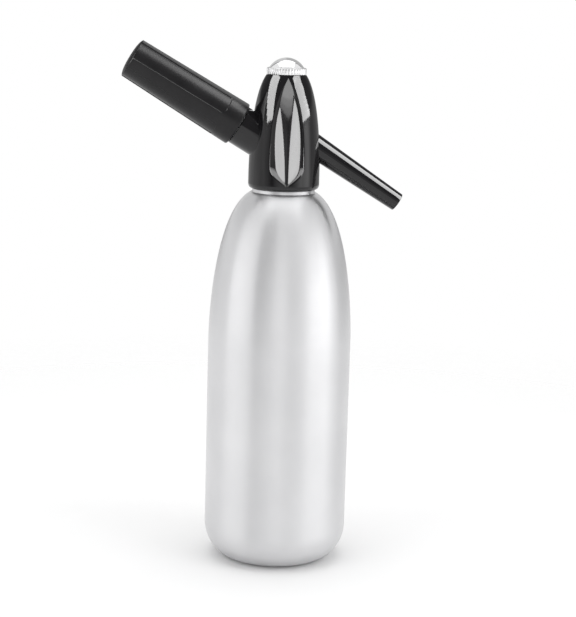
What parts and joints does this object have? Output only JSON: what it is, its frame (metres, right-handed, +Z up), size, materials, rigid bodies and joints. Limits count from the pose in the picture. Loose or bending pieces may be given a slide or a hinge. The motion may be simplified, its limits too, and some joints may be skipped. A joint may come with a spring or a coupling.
{
  "type": "soda siphon",
  "caption": "Soda siphon with a metal bottle, a moulded head, a side spout, a fluted screw-on charger holder and a press-down dome button.",
  "frame": {"origin": "on the bottle's axis, on the plane that the bottle stands on", "axes": "+Z up along the bottle; the charger holder points to -X and the spout to +X; the front inlay faces -Y"},
  "size_m": [0.1864, 0.095, 0.3439],
  "materials": {
    "satin_aluminium": "satin brushed",
    "gloss_black": "gloss",
    "satin_black": "satin",
    "bright_chrome": "polished",
    "cast_metal": "cast, machined seats",
    "turned_brass": "turned",
    "bare_steel": "drawn",
    "white_plastic": "moulded",
    "seal_rubber": "matt"
  },
  "bodies": {
    "bottle": {"bottle": "satin_aluminium"},
    "tubes": {"head_gasket": "seal_rubber", "measuring_tube": "white_plastic", "riser_tube": "white_plastic"},
    "head": {"valve_body": "cast_metal", "head_cover": "gloss_black", "front_inlay": "gloss_black", "rear_inlay": "gloss_black", "knurled_collar": "bright_chrome", "stem_guide": "turned_brass", "stem_seal": "seal_rubber", "riser_seal": "seal_rubber", "spout": "gloss_black", "spout_seal": "seal_rubber", "pin_holder": "turned_brass", "piercing_pin": "bare_steel", "charger_gasket": "seal_rubber", "return_spring": "bare_steel", "check_spring": "bare_steel", "relief_spring": "bare_steel", "relief_plug": "turned_brass"},
    "button": {"dome_button": "bright_chrome", "button_stem": "bare_steel", "valve_disc": "seal_rubber"},
    "check": {"check_ball": "bare_steel"},
    "relief": {"relief_poppet": "seal_rubber"},
    "charger": {"charger": "bare_steel", "holder_pad": "seal_rubber"},
    "holder": {"charger_holder": "satin_black", "holder_sleeve": "satin_aluminium"}
  },
  "joints": [
    {"name": "tubes_rise", "type": "slide", "parent": "bottle", "child": "tubes", "axis": [0, 0, 1], "range_m": [0, 0.012]},
    {"name": "head_unscrew", "type": "hinge", "parent": "tubes", "child": "head", "pos_m": [0, 0, 0.25], "axis": [0, 0, 1], "range_deg": [0, 1080]},
    {"name": "button_press", "type": "slide", "parent": "head", "child": "button", "axis": [0, 0, -1], "range_m": [0, 0.0045], "stiffness_N_per_m": 1200, "springref_m": -0.003, "deforming": ["return_spring"]},
    {"name": "check_open", "type": "slide", "parent": "head", "child": "check", "axis": [0.859, 0, -0.512], "range_m": [0, 0.0012], "stiffness_N_per_m": 100, "springref_m": -0.001, "deforming": ["check_spring"]},
    {"name": "relief_open", "type": "slide", "parent": "head", "child": "relief", "axis": [0, 1, 0], "range_m": [0, 0.001], "stiffness_N_per_m": 1500, "springref_m": -0.002, "deforming": ["relief_spring"]},
    {"name": "charger_out", "type": "slide", "parent": "head", "child": "charger", "axis": [-0.859, 0, 0.512], "range_m": [0, 0.015]},
    {"name": "holder_unscrew", "type": "hinge", "parent": "charger", "child": "holder", "pos_m": [-0.0309, 0, 0.29123], "axis": [-0.859, 0, 0.512], "range_deg": [0, 2160]}
  ],
  "couplings": [
    {"joint": "head_unscrew", "follows": "tubes_rise", "rad_per_m": 1570.8},
    {"joint": "holder_unscrew", "follows": "charger_out", "rad_per_m": 2513.3}
  ]
}
